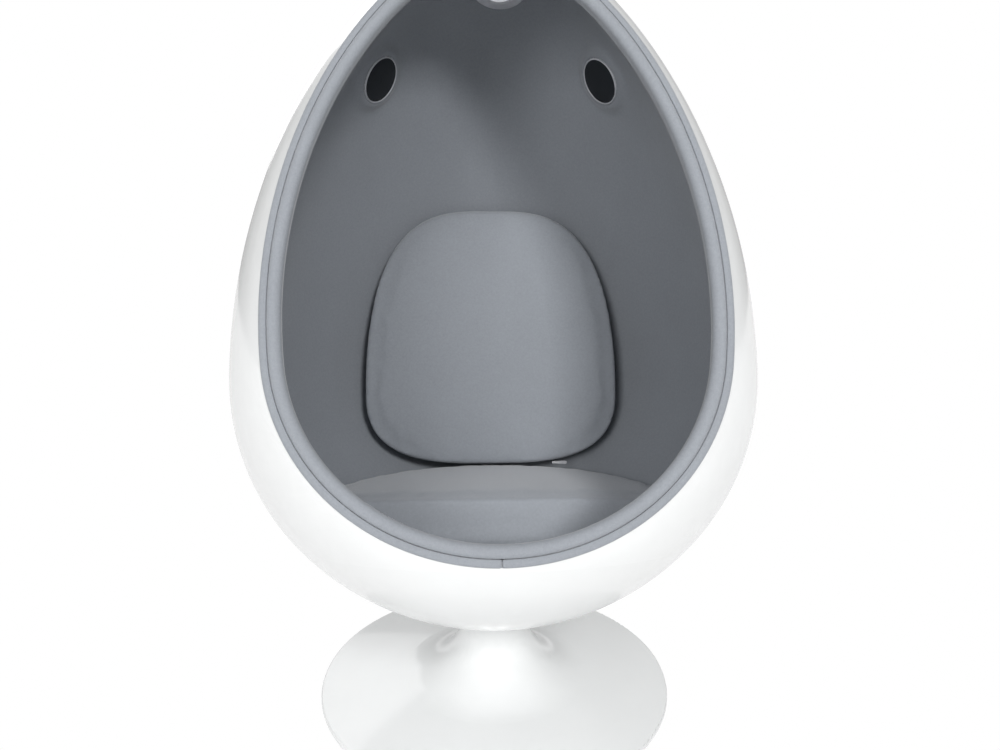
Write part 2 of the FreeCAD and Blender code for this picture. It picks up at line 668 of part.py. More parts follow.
def back_section(x):
    """Four arcs across the cushion's thickness at one distance from its middle."""
    share = min(abs(x) / BACK_HALF_WIDTH, 1.0)
    thick = BACK_SIDE_THICK + (BACK_THICK - BACK_SIDE_THICK) * math.sqrt(1 - share**4)
    rise = BACK_HEIGHT * (1 - BACK_WIDEST) * (1 - share**3.2) ** (1 / 2.35)
    drop = BACK_HEIGHT * BACK_WIDEST * (1 - share**3.2) ** (1 / 2.6)
    middle = BACK_HEIGHT * BACK_WIDEST
    edge = thick * 0.32
    front = -x * x / (2 * BACK_BEND_RADIUS)
    back = front + thick
    centre = (front + back) / 2
    low = middle - drop
    high = middle + rise
    half = max((high - low) / 2, 30.0)
    heart = (high + low) / 2
    top, bottom = heart + half, heart - half
    low_front = Vector(x, centre - edge, bottom)
    top_front = Vector(x, centre - edge, top)
    top_back = Vector(x, centre + edge, top)
    low_back = Vector(x, centre + edge, bottom)
    arcs = [
        Part.Arc(low_front, Vector(x, front, heart), top_front),
        Part.Arc(top_front, Vector(x, centre, top + edge * 0.5), top_back),
        Part.Arc(top_back, Vector(x, back, heart), low_back),
        Part.Arc(low_back, Vector(x, centre, bottom - edge * 0.2), low_front),
    ]
    return Part.Wire([arc.toShape() for arc in arcs])


def back_cushion():
    stations = []
    for k in range(BACK_STATIONS):
        turn = math.pi * k / (BACK_STATIONS - 1)
        stations.append(-BACK_HALF_WIDTH * math.cos(turn))
    body = Part.makeLoft([back_section(x) for x in stations], True, False)
    return moved(body, BACK_PLACE)


def cushions():
    keep("seat_cushion", seat_cushion())
    keep("back_cushion", back_cushion())
    pull = outline((0, -2.4), (20, -3.4), ((23.4, 0), (20, 3.4)), (0, 2.4)).extrude(Vector(0, 1.2, 0))
    slider = Part.makeBox(8, 4, 4.4, Vector(-7, 0, -2.2))
    keep("zip_pull", moved(joined([pull, slider]).translated(ZIP_PULL), BACK_PLACE))


def build():
    foot()
    swivel()
    keep("egg_shell", egg_shell())
    keep("cable_grommet", cable_grommet())
    lining()
    rim_trim()
    speakers()
    lamp()
    cushions()
    os.makedirs("parts", exist_ok=True)
    for name, shape in parts.items():
        shape.exportStep(f"parts/{name}.step")


build()
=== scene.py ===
import math

import bmesh
import bpy
import numpy as np
from bpy.props import FloatProperty, FloatVectorProperty, IntProperty, PointerProperty
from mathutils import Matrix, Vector


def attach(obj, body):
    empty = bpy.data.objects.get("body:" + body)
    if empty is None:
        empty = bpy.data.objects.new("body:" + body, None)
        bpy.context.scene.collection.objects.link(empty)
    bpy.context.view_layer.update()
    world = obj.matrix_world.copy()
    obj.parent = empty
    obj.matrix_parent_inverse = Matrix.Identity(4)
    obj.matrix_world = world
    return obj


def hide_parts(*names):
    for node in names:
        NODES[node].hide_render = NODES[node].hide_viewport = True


bl_info = {
    "name": "Pod chair",
    "version": (1, 0, 0),
    "blender": (4, 5, 0),
    "location": "3D View > Sidebar > Pod Chair",
    "description": "Upholstery, finishes and studio for an egg-shaped pod chair",
    "category": "Object",
}

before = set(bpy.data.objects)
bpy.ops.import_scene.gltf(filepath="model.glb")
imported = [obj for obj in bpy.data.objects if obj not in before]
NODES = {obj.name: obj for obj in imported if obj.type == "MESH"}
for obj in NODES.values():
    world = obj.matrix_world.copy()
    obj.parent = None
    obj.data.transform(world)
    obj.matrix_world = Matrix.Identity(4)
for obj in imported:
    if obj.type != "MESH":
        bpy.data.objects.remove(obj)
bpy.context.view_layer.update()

# The egg, in metres and in its own frame: centre and radius of each arc from the bottom pole to the tip
BOTTOM_ARC = (0.0, 0.0321, 0.4375)
LOWER_ARC = (0.035, 0.0, 0.390)
UPPER_ARC = (-0.604, 0.0, 1.029)
TIP_ARC = (0.0, 0.5076, 0.240)
BOTTOM_JOIN = -math.atan2(0.0321, 0.035)
TIP_JOIN = math.atan2(0.5076, 0.604)
EGG_LEAN = math.radians(15.0)
EGG_CENTRE = np.array([0.0, 0.0, 0.5608])

# The plane of the opening: a point, its outward normal, and the way up along it
RIM_LEAN = math.radians(23.7)
RIM_POINT = np.array([0.0, -0.279, 0.6355])
RIM_OUT = np.array([0.0, -math.cos(RIM_LEAN), math.sin(RIM_LEAN)])
RIM_UP = np.array([0.0, math.sin(RIM_LEAN), math.cos(RIM_LEAN)])
ACROSS = np.array([1.0, 0.0, 0.0])
RIM_MIDDLE = RIM_POINT + 0.2 * RIM_UP

BOWL_CENTRE = np.array([0.0, 0.0083, 0.5918])
BOWL_RADIUS = 0.4375
SEAT_SLOPE = math.radians(9.0)
BACK_LEAN = math.radians(13.0)
BACK_FOOT = np.array([0.0, 0.208, 0.3385])

SIDES = (-1.0, 1.0)


class PodChairSizes(bpy.types.PropertyGroup):
    """Sizes of the upholstery that sits on the fixed frame"""

    band_width: FloatProperty(
        name="Band width", description="Flat band on the shell's edge",
        default=0.0108, unit="LENGTH",
    )
    band_height: FloatProperty(
        name="Band height", description="How far the band stands off the edge",
        default=0.0046, unit="LENGTH",
    )
    roll_start: FloatProperty(
        name="Roll start", description="From the shell's edge to the padded roll",
        default=0.0112, unit="LENGTH",
    )
    roll_end: FloatProperty(
        name="Roll end", description="From the shell's edge to the roll's inner side",
        default=0.029, unit="LENGTH",
    )
    roll_crown: FloatProperty(
        name="Roll crown", description="Height of the roll over the shell's edge",
        default=0.0075, unit="LENGTH",
    )
    lining_inset: FloatProperty(
        name="Lining inset", description="From the gel coat to the face of the lining",
        default=0.028, unit="LENGTH",
    )
    lining_depth: FloatProperty(
        name="Lining depth", description="Thickness of fabric and foam together",
        default=0.0215, unit="LENGTH",
    )
    lining_setback: FloatProperty(
        name="Lining setback", description="From the opening's plane back to the lining",
        default=0.0222, unit="LENGTH",
    )
    cushion_start: FloatProperty(
        name="Cushion start", description="How much smaller a cushion starts before it is filled",
        default=0.0025, unit="LENGTH",
    )
    seat_swell: FloatProperty(
        name="Seat swell", description="Most that filling may move the seat's cover",
        default=0.0045, unit="LENGTH",
    )
    back_swell: FloatProperty(
        name="Back swell", description="Most that filling may move the back's cover",
        default=0.0045, unit="LENGTH",
    )
    cushion_voxel: FloatProperty(
        name="Cushion mesh", description="Mesh size of the covers when they are filled",
        default=0.006, unit="LENGTH",
    )
    filling_frames: IntProperty(
        name="Filling frames", description="Length of the filling simulation",
        default=20,
    )


class PodChairColours(bpy.types.PropertyGroup):
    """Colours of the finishes"""

    gel_coat: FloatVectorProperty(
        name="Gel coat", description="Shell and foot", subtype="COLOR", size=3,
        default=(0.83, 0.84, 0.84),
    )
    wool: FloatVectorProperty(
        name="Wool", description="Fabric of the lining, rim and cushions", subtype="COLOR", size=3,
        default=(0.272, 0.289, 0.315),
    )
    silver: FloatVectorProperty(
        name="Silver", description="Rings of the loudspeakers and the lamp", subtype="COLOR", size=3,
        default=(0.50, 0.51, 0.54),
    )
    grille: FloatVectorProperty(
        name="Grille", description="Loudspeaker grilles", subtype="COLOR", size=3,
        default=(0.012, 0.014, 0.017),
    )
    lens: FloatVectorProperty(
        name="Lens", description="Lamp lens", subtype="COLOR", size=3,
        default=(0.86, 0.87, 0.90),
    )
    floor: FloatVectorProperty(
        name="Floor", description="Studio floor", subtype="COLOR", size=3,
        default=(0.86, 0.86, 0.86),
    )


# Materials
class Signal:
    """A value on its way through a material: arithmetic on it adds the Math nodes that work it out."""

    def __init__(self, finish, socket):
        self.finish = finish
        self.socket = socket

    def maths(self, operation, *values):
        return self.finish.node("ShaderNodeMath", {"operation": operation}, dict(enumerate(values)))

    def __add__(self, other):
        return self.maths("ADD", self, other)

    __radd__ = __add__

    def __mul__(self, other):
        return self.maths("MULTIPLY", self, other)

    __rmul__ = __mul__

    def __sub__(self, other):
        return self.maths("SUBTRACT", self, other)

    def __rsub__(self, other):
        return self.maths("SUBTRACT", other, self)

    def wave(self):
        return self.maths("SINE", self)

    def above(self, level, soft):
        """0 below the level, 1 above it, with a soft step."""
        return self.finish.node(
            "ShaderNodeMapRange",
            {"interpolation_type": "SMOOTHSTEP"},
            {"Value": self, "From Min": level - soft, "From Max": level + soft},
        )


class Finish:
    """A material being made: one Principled shader and the nodes that vary it."""

    def __init__(self, name, **constants):
        self.material = bpy.data.materials.new(name)
        self.material.use_nodes = True
        self.tree = self.material.node_tree
        self.shader = self.tree.nodes["Principled BSDF"]
        for socket, value in constants.items():
            self.feed(self.shader.inputs[socket.replace("_", " ")], value)
        self.place = self.node("ShaderNodeTexCoord", out="Object")

    def node(self, kind, settings=None, inputs=None, out=0):
        made = self.tree.nodes.new(kind)
        for key, value in (settings or {}).items():
            setattr(made, key, value)
        for key, value in (inputs or {}).items():
            self.feed(made.inputs[key], value)
        return Signal(self, made.outputs[out])

    def feed(self, socket, value):
        if isinstance(value, Signal):
            self.tree.links.new(value.socket, socket)
        else:
            socket.default_value = value

    def vary(self, socket, value):
        self.feed(self.shader.inputs[socket], value)

    def noise(self, scale, detail=2.0, rough=0.5, place=None):
        return self.node(
            "ShaderNodeTexNoise",
            None,
            {"Vector": place or self.place, "Scale": scale, "Detail": detail, "Roughness": rough},
        )

    def along(self, direction):
        """Distance of a point along a direction, in metres."""
        return self.node(
            "ShaderNodeVectorMath", {"operation": "DOT_PRODUCT"}, {0: self.place, 1: direction}, out="Value"
        )

    def stretched(self, scale):
        return self.node("ShaderNodeVectorMath", {"operation": "MULTIPLY"}, {0: self.place, 1: scale})

    def mix(self, share, first, second):
        """A colour between two others."""
        return self.node("ShaderNodeMix", {"data_type": "RGBA"}, {0: share, 6: first, 7: second}, out=2)

    def bump(self, height, depth, strength=1.0, below=None):
        inputs = {"Height": height, "Distance": depth, "Strength": strength}
        if below is not None:
            inputs["Normal"] = below
        return self.node("ShaderNodeBump", None, inputs)


def solid(colour, factor=1.0):
    """A colour with its alpha, lighter or darker by a factor."""
    return (colour[0] * factor, colour[1] * factor, colour[2] * factor, 1.0)


def gel_coat(name, colour):
    """Glossy gel coat: long fairing waves, fine orange peel, and a dull, hazed patch here and there."""
    finish = Finish(name, Coat_Weight=0.5, Coat_Roughness=0.05)
    haze = finish.noise(7.0, 4.0, 0.6)
    finish.vary("Base Color", finish.mix(haze.above(0.5, 0.2), solid(colour), solid(colour, 0.975)))
    finish.vary("Roughness", haze * 0.12 + 0.16)
    waves = finish.bump(finish.noise(3.2, 1.0), 0.0012, 0.5)
    finish.vary("Normal", finish.bump(finish.noise(170.0, 2.0), 0.00006, 0.5, waves))
    return finish.material


THREAD_PITCH = 0.0016


def wool(name, colour, weave=True, painted_light=1.0):
    """Brushed wool cloth: heathered yarn, a fine plain weave, and a nap that catches the light."""
    finish = Finish(name, Roughness=0.95, Sheen_Weight=0.35, Sheen_Roughness=0.45, Specular_IOR_Level=0.2)
    mottle = finish.noise(230.0, 3.0, 0.65)
    cloud = finish.noise(9.0, 3.0, 0.55)
    fibre = finish.noise(900.0, 2.0, 0.6, finish.stretched((1.0, 0.55, 0.55)))
    level = (mottle - 0.5) * 0.55 + (cloud - 0.5) * 0.22 + (fibre - 0.5) * 0.40 + 0.5
    # Both tones are multiplied by the factor given last: above 1 it is painted light, a whole cloth made
    # lighter as if lit more strongly than the lining.
    dark, light = solid(colour, 0.78 * painted_light), solid(colour, 1.22 * painted_light)
    finish.vary("Base Color", finish.mix(level, dark, light))
    height = fibre * 0.6 + mottle * 0.5
    if weave:
        pitch = 2 * math.pi / THREAD_PITCH
        warp = (finish.along((pitch, 0.0, 0.0)) + mottle * 2.0).wave()
        weft = (finish.along((0.0, pitch, pitch)) + mottle * 2.0).wave()
        height = height + warp * weft * 0.35
    finish.vary("Normal", finish.bump(height, 0.0006, 0.55))
    return finish.material


def metal(name, colour, rough, brushed=0.0):
    """Bare or plated metal with faint machining marks and handling marks."""
    finish = Finish(name, Metallic=1.0)
    marks = finish.noise(420.0, 2.0, 0.6, finish.stretched((1.0, 1.0, 8.0)))
    smears = finish.noise(35.0, 4.0, 0.6)
    finish.vary("Base Color", finish.mix(smears, solid(colour, 0.9), solid(colour, 1.06)))
    finish.vary("Roughness", smears * 0.12 + marks * brushed + rough)
    finish.vary("Normal", finish.bump(marks, 0.00005, 0.4))
    return finish.material


def moulded(name, colour, rough=0.45, grain=520.0):
    """Moulded plastic, rubber or paint: fine grain and slight dulling."""
    finish = Finish(name)
    wear = finish.noise(28.0, 5.0, 0.6)
    finish.vary("Base Color", finish.mix(wear.above(0.6, 0.15), solid(colour), solid(colour, 1.25)))
    finish.vary("Roughness", wear * 0.15 + rough)
    finish.vary("Normal", finish.bump(finish.noise(grain, 2.0), 0.00012, 0.4))
    return finish.material


def dress(names, material):
    """Gives a material to nodes of the fixed frame."""
    for name in names:
        node = NODES[name]
        node.data.materials.clear()
        node.data.materials.append(material)


# Shapes
def surface(name, points, closed_rows=False, closed_columns=True, drop=None):
    """Mesh of a grid of points, rows by columns; rows or columns may close on themselves, and faces marked in
    drop are left out. Rows that shrink to one point become poles."""
    rows, columns = points.shape[:2]
    row = np.arange(rows if closed_rows else rows - 1)[:, None]
    column = np.arange(columns if closed_columns else columns - 1)[None, :]
    after_row = (row + 1) % rows
    after_column = (column + 1) % columns
    corners = [
        row * columns + column,
        row * columns + after_column,
        after_row * columns + after_column,
        after_row * columns + column,
    ]
    faces = np.stack(np.broadcast_arrays(*corners), axis=-1).reshape(-1, 4)
    if drop is not None:
        faces = faces[~drop.reshape(-1)[faces].any(axis=1)]
    mesh = bpy.data.meshes.new(name)
    mesh.from_pydata(points.reshape(-1, 3), [], faces)
    model = bmesh.new()
    model.from_mesh(mesh)
    bmesh.ops.remove_doubles(model, verts=model.verts, dist=1e-6)
    loose = [vertex for vertex in model.verts if not vertex.link_faces]
    bmesh.ops.delete(model, geom=loose, context="VERTS")
    model.to_mesh(mesh)
    model.free()
    mesh.shade_smooth()
    piece = bpy.data.objects.new(name, mesh)
    bpy.context.scene.collection.objects.link(piece)
    return piece


def face_outwards(piece):
    """Turns the faces of a closed mesh outwards."""
    model = bmesh.new()
    model.from_mesh(piece.data)
    bmesh.ops.recalc_face_normals(model, faces=model.faces)
    model.to_mesh(piece.data)
    model.free()


def arc(first, middle, last, count):
    """Points on the circle through three points, from the first to just before the last: the centre is where
    the bisectors of the two chords cross, and the angle runs evenly by way of the middle point."""
    first, middle, last = (np.asarray(p, float) for p in (first, middle, last))
    a = middle - first
    b = last - first
    cross = 2 * (a[..., 0] * b[..., 1] - a[..., 1] * b[..., 0])
    aa, bb = (a**2).sum(-1), (b**2).sum(-1)
    offset = np.stack([aa * b[..., 1] - bb * a[..., 1], bb * a[..., 0] - aa * b[..., 0]], -1)
    centre = first + offset / cross[..., None]
    angle = lambda p: np.arctan2((p - centre)[..., 1], (p - centre)[..., 0])
    sense = np.sign(cross)
    sweep = np.mod((angle(last) - angle(first)) * sense, 2 * np.pi) * sense
    turn = angle(first)[..., None] + sweep[..., None] * np.arange(count) / count
    radius = np.sqrt(((first - centre) ** 2).sum(-1))[..., None]
    return centre[..., None, :] + np.stack([radius * np.cos(turn), radius * np.sin(turn)], -1)


def line(first, last, count):
    """Points on a straight run, from the first to just before the last."""
    first, last = np.asarray(first, float), np.asarray(last, float)
    return first + (last - first) * (np.arange(count) / count)[:, None]


def tilted(points, origin, lean):
    """Points of a frame that leans back about its X by lean, brought into the chair's own frame."""
    y = points[..., 1] * math.cos(lean) + points[..., 2] * math.sin(lean)
    z = points[..., 2] * math.cos(lean) - points[..., 1] * math.sin(lean)
    return np.stack([points[..., 0], y, z], -1) + origin


def depth(points):
    """How far points lie inside the gel-coated face: the arc's radius less the distance to its centre, in the
    arc whose sector holds the point's radius and height in the egg's own frame."""
    local = points - EGG_CENTRE
    y = local[..., 1] * math.cos(EGG_LEAN) - local[..., 2] * math.sin(EGG_LEAN)
    z = local[..., 1] * math.sin(EGG_LEAN) + local[..., 2] * math.cos(EGG_LEAN)
    r = np.hypot(local[..., 0], y)
    arcs = (BOTTOM_ARC, LOWER_ARC, UPPER_ARC, TIP_ARC)
    found = [radius - np.hypot(r - across, z - up) for across, up, radius in arcs]
    low = (r < LOWER_ARC[0]) | (np.arctan2(z, r - LOWER_ARC[0]) < BOTTOM_JOIN)
    high = np.arctan2(z, r - UPPER_ARC[0]) > TIP_JOIN
    return np.where(z < 0, np.where(low, found[0], found[1]), np.where(high, found[3], found[2]))


LONGEST_RAY = 1.3
HALVINGS = 40


def reach(start, directions, inset):
    """Where rays from a point inside meet the egg's skin at an inset: the distance is halved in until the
    depth there is the inset."""
    near = np.zeros(directions.shape[:-1])
    far = np.full(directions.shape[:-1], LONGEST_RAY)
    for _ in range(HALVINGS):
        middle = (near + far) / 2
        inside = depth(start + middle[..., None] * directions) > inset
        near = np.where(inside, middle, near)
        far = np.where(inside, far, middle)
    return start + near[..., None] * directions


def rim_curve(count):
    """The curve in which the opening's plane cuts the egg: rays in the plane, from the lowest point round,
    then spaced evenly along the curve. Returns the points, the inward directions in the plane, and the
    curve's length."""
    turn = np.linspace(-np.pi / 2, 1.5 * np.pi, 4097)
    rays = np.cos(turn)[:, None] * ACROSS + np.sin(turn)[:, None] * RIM_UP
    dense = reach(RIM_MIDDLE, rays, 0.0)
    run = np.concatenate([[0.0], np.cumsum(np.linalg.norm(np.diff(dense, axis=0), axis=1))])
    stops = run[-1] * np.arange(count) / count
    points = np.stack([np.interp(stops, run, dense[:, k]) for k in range(3)], -1)
    ahead = np.roll(points, -1, 0) - np.roll(points, 1, 0)
    ahead /= np.linalg.norm(ahead, axis=1)[:, None]
    inward = np.cross(RIM_OUT, ahead)
    inward *= np.sign(((RIM_MIDDLE - points) * inward).sum(1))[:, None]
    return points, inward, run[-1]


def swept(section, points, inward):
    """A section of inward distance and height over the plane, carried round the rim, one row to a point."""
    return points[:, None, :] + section[..., 0:1] * inward[:, None, :] + section[..., 1:2] * RIM_OUT


SPEAKER_RISE, SPEAKER_TURN = math.radians(34.3), math.radians(72.4)
LAMP_BACK, LAMP_SIDE = math.radians(5.0), math.radians(4.0)


def out_of_egg(point, outward):
    """A point and its inward direction in the chair's frame, from a point and an outward one in the egg's."""
    turned = lambda v: tilted(v, np.zeros(3), EGG_LEAN)
    return turned(point) + EGG_CENTRE, -turned(outward)


def wall_fitting(rise, turn, centre, radius):
    """Point on the gel coat and inward direction of a fitting, from its rise and turn in the egg's frame."""
    across = np.array([math.sin(turn), math.cos(turn), 0.0])
    up = np.array([0.0, 0.0, 1.0])
    outward = across * math.cos(rise) + up * math.sin(rise)
    point = across * (centre[0] + radius * math.cos(rise)) + up * (centre[1] + radius * math.sin(rise))
    return out_of_egg(point, outward)


def speaker_place(side):
    """Place of a loudspeaker in the side wall: side is -1 on the left and 1 on the right."""
    return wall_fitting(SPEAKER_RISE, side * SPEAKER_TURN, UPPER_ARC[:2], UPPER_ARC[2])


def lamp_place():
    """Place of the lamp in the roof, on the ball of the egg's tip."""
    outward = np.array([math.sin(LAMP_SIDE), math.sin(LAMP_BACK), math.cos(LAMP_BACK) * math.cos(LAMP_SIDE)])
    outward /= np.linalg.norm(outward)
    return out_of_egg(np.array([0.0, 0.0, TIP_ARC[1]]) + outward * TIP_ARC[2], outward)


def gathered(count, centres, width, gain):
    """Numbers from 0 to 1 that crowd together at the centres: the density has a bell at each of them."""
    fine = np.linspace(0.0, 1.0, 4001)
    density = 1.0 + gain * sum(np.exp(-(((fine - c) / width) ** 2)) for c in centres)
    run = np.concatenate([[0.0], np.cumsum((density[1:] + density[:-1]) / 2)])
    return np.interp(np.linspace(0.0, 1.0, count), run / run[-1], fine)


# Lining
LINING_ROWS, LINING_COLUMNS = 150, 300
MOUND_RADII = (0.0, 0.051, 0.072, 0.100)
MOUND_HEIGHTS = (0.040, 0.040, 0.0245, 0.002)
MOUND_BLEND = 0.0032
MOUND_REACH = 0.11
MOUND_FLAT, MOUND_FACE = 0.050, 0.0402
TUCK_OUTER, TUCK_INNER = 0.0475, 0.0413
SPEAKER_HOLE, LAMP_HOLE = 0.0385, 0.042
NEAR_WALL = 0.2


def lining_points(sizes):
    """Rays from a point in the set-back plane of the opening: they turn from straight back to the plane
    itself, and round the plane's normal, and meet the egg at the lining's face. Round each loudspeaker the
    face is raised to a low mound: the larger of its own height and the mound's, blended smoothly, with its
    edge drawn in under the ring."""
    start = RIM_MIDDLE - sizes.lining_setback * RIM_OUT
    places = [speaker_place(side) for side in SIDES]
    polar = []
    for point, inward in places:
        ray = point - start
        ray /= np.linalg.norm(ray)
        polar.append((math.acos(-ray @ RIM_OUT) / (np.pi / 2), math.atan2(ray @ RIM_UP, ray[0])))
    fall = gathered(LINING_ROWS, [polar[0][0]], 0.07, 1.6) * np.pi / 2
    round_at = [(angle / (2 * np.pi)) % 1.0 for _, angle in polar]
    turn = gathered(LINING_COLUMNS + 1, round_at, 0.022, 1.8)[:-1] * 2 * np.pi
    fall, turn = fall[:, None, None], turn[None, :, None]
    rays = -np.cos(fall) * RIM_OUT + np.sin(fall) * (np.cos(turn) * ACROSS + np.sin(turn) * RIM_UP)
    points = reach(start, rays, sizes.lining_inset)
    drop = np.zeros(points.shape[:2], bool)
    for point, inward in places:
        local = points - point
        height = local @ inward
        away = np.linalg.norm(local - height[..., None] * inward, axis=-1)
        mound = np.interp(away, MOUND_RADII, MOUND_HEIGHTS)
        raised = np.logaddexp(height / MOUND_BLEND, mound / MOUND_BLEND) * MOUND_BLEND
        raised = np.where(away < MOUND_FLAT, np.minimum(raised, MOUND_FACE), raised)
        near = (away < MOUND_REACH) & (height < NEAR_WALL)
        drawn_in = np.interp(away, [SPEAKER_HOLE, TUCK_OUTER], [TUCK_INNER, TUCK_OUTER])
        tucked = np.where(near & (away < TUCK_OUTER), drawn_in, away)
        outwards = (local - height[..., None] * inward) / np.maximum(away, 1e-9)[..., None]
        points = points + np.where(near, raised - height, 0.0)[..., None] * inward
        points = points + (tucked - away)[..., None] * outwards
        drop |= near & (away < SPEAKER_HOLE)
    point, inward = lamp_place()
    local = points - point
    height = local @ inward
    away = np.linalg.norm(local - height[..., None] * inward, axis=-1)
    drop |= (away < LAMP_HOLE) & (height < NEAR_WALL)
    return points, drop


class POD_OT_lining(bpy.types.Operator):
    """Padded lining of the pod, with a mound round each loudspeaker"""

    bl_idname = "pod_chair.lining"
    bl_label = "Lining"

    def execute(self, context):
        sizes, colours = context.scene.pod_chair_sizes, context.scene.pod_chair_colours
        points, drop = lining_points(sizes)
        lining = surface("lining", points, drop=drop)
        towards = RIM_MIDDLE - np.array(lining.data.polygons[0].center)
        if Vector(towards).dot(lining.data.polygons[0].normal) < 0:
            lining.data.flip_normals()
        thickness = lining.modifiers.new("foam", "SOLIDIFY")
        thickness.thickness = sizes.lining_depth
        thickness.offset = -1.0
        lining.data.materials.append(wool("lining_wool", colours.wool, weave=False))
        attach(lining, "pod")
        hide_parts("liner_fabric", "liner_foam")
        return {"FINISHED"}


# Rim
RIM_STEPS = 720


class POD_OT_rim(bpy.types.Operator):
    """Flat band on the shell's edge, butted at its lowest point, and the padded roll inside it"""

    bl_idname = "pod_chair.rim"
    bl_label = "Rim band and roll"

    def execute(self, context):
        sizes, colours = context.scene.pod_chair_sizes, context.scene.pod_chair_colours
        cloth = wool("rim_wool", colours.wool, weave=False)
        self.band(sizes, cloth)
        self.roll(sizes, cloth)
        return {"FINISHED"}

    def band(self, sizes, cloth):
        """Rounded flat section, drawn in at both ends of the butt joint."""
        points, inward, length = rim_curve(RIM_STEPS)
        points, inward = (np.concatenate([v, v[:1]]) for v in (points, inward))
        wide, tall = sizes.band_width, sizes.band_height
        section = np.concatenate([
            line((0.0, 0.0001), (wide, 0.0001), 6),
            line((wide, 0.0001), (wide, tall - 0.0014), 3),
            arc((wide, tall - 0.0014), (wide - 0.0005, tall - 0.0004), (wide - 0.0018, tall), 4),
            arc((wide - 0.0018, tall), (wide / 2, tall + 0.0005), (0.0026, tall - 0.0005), 8),
            arc((0.0026, tall - 0.0005), (0.0007, tall / 2 + 0.0004), (0.0, 0.0001), 6),
        ])
        middle = np.array([wide / 2, tall / 2])
        run = np.arange(len(points)) * length / RIM_STEPS
        to_joint = np.minimum(run, length - run)
        shrink = 1 - 0.07 * np.exp(-to_joint / 0.0015)
        sections = middle + (section - middle) * shrink[:, None, None]
        sections[0] = sections[-1] = middle
        step = np.array([0.0003, -0.0003])
        ahead = np.cross(inward[[0, -1]], RIM_OUT)
        sense = np.sign(ahead[0] @ (points[1] - points[0]))
        points[[0, -1]] += sense * ahead * step[:, None]
        grid = swept(sections, points, inward)
        ends = swept(middle + (section - middle) * 0.9, points, inward)
        grid = np.concatenate([grid[:1], ends[:1], grid[1:-1], ends[-1:], grid[-1:]])
        band = surface("rim_band_cloth", grid)
        face_outwards(band)
        band.data.materials.append(cloth)
        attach(band, "pod")
        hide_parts("rim_band")

    def roll(self, sizes, cloth):
        """Full round section over a flat back, with slow swelling and small puckers along the sewn side."""
        points, inward, _ = rim_curve(RIM_STEPS)
        start, end, crown = sizes.roll_start, sizes.roll_end, sizes.roll_crown
        section = np.concatenate([
            line((0.0045, -0.0218), (0.019, -0.0218), 4),
            arc((0.019, -0.0218), (0.0266, -0.015), (end, -0.006), 10),
            arc((end, -0.006), (end - 0.0022, 0.004), (start + 0.009, crown), 16),
            arc((start + 0.009, crown), (start + 0.003, crown - 0.0014), (start + 0.0001, 0.0031), 12),
            line((start + 0.0001, 0.0031), (start, -0.006), 4),
            line((start, -0.006), (0.0045, -0.0218), 4),
        ])
        turn = 2 * np.pi * np.arange(RIM_STEPS) / RIM_STEPS
        waves = ((5, 0.4), (9, 1.9), (14, 4.1))
        slow = sum(np.sin(number * turn + phase) for number, phase in waves) / len(waves)
        pucker = np.sin(97 * turn + 1.2 * np.sin(11 * turn))
        over = np.clip(section[:, 1] / crown, 0.0, 1.0)
        sewn = np.exp(-(((section[:, 0] - start - 0.003) / 0.004) ** 2)) * (section[:, 1] > -0.001)
        lift = slow[:, None] * 0.0003 * over + pucker[:, None] * 0.00028 * sewn
        sections = np.broadcast_to(section, (RIM_STEPS,) + section.shape).copy()
        sections[..., 1] += lift
        roll = surface("rim_roll_cloth", swept(sections, points, inward), closed_rows=True)
        face_outwards(roll)
        roll.data.materials.append(cloth)
        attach(roll, "pod")
        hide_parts("rim_roll")


# Cushions
def coordinates(mesh):
    """Places of a mesh's vertices, one row to a vertex."""
    points = np.empty(len(mesh.vertices) * 3)
    mesh.vertices.foreach_get("co", points)
    return points.reshape(-1, 3)


def final_mesh(piece):
    """The mesh of a piece with its modifiers applied."""
    shown = bpy.context.evaluated_depsgraph_get()
    return bpy.data.meshes.new_from_object(piece.evaluated_get(shown))


FILLING_PRESSURE = 4.0


def filled(piece, sizes, swell):
    """Remeshes a cover, fills it with air as cloth, and lets no point move further than swell."""
    even = piece.modifiers.new("even", "REMESH")
    even.mode = "VOXEL"
    even.voxel_size = sizes.cushion_voxel
    even.use_smooth_shade = True
    mesh = final_mesh(piece)
    piece.modifiers.clear()
    piece.data = mesh
    before = coordinates(mesh)
    cloth = piece.modifiers.new("filling", "CLOTH")
    cloth.settings.use_pressure = True
    cloth.settings.uniform_pressure_force = FILLING_PRESSURE
    cloth.settings.effector_weights.gravity = 0.0
    cloth.point_cache.frame_start = 1
    cloth.point_cache.frame_end = sizes.filling_frames
    for moment in range(1, sizes.filling_frames + 1):
        bpy.context.scene.frame_set(moment)
    after = coordinates(final_mesh(piece))
    piece.modifiers.clear()
    bpy.context.scene.frame_set(1)
    move = after - before
    far = np.linalg.norm(move, axis=1)[:, None]
    move *= np.minimum(1.0, swell / np.maximum(far, 1e-9))
    mesh.vertices.foreach_set("co", (before + move).ravel())
    mesh.update()
    fine = piece.modifiers.new("fine", "SUBSURF")
    fine.levels = fine.render_levels = 1
    mesh = final_mesh(piece)
    piece.modifiers.clear()
    piece.data = mesh
    mesh.shade_smooth()


UNDER_SEAT = 0.033
SEAT_BOW = 1.0
SEAT_CORNER = 0.07


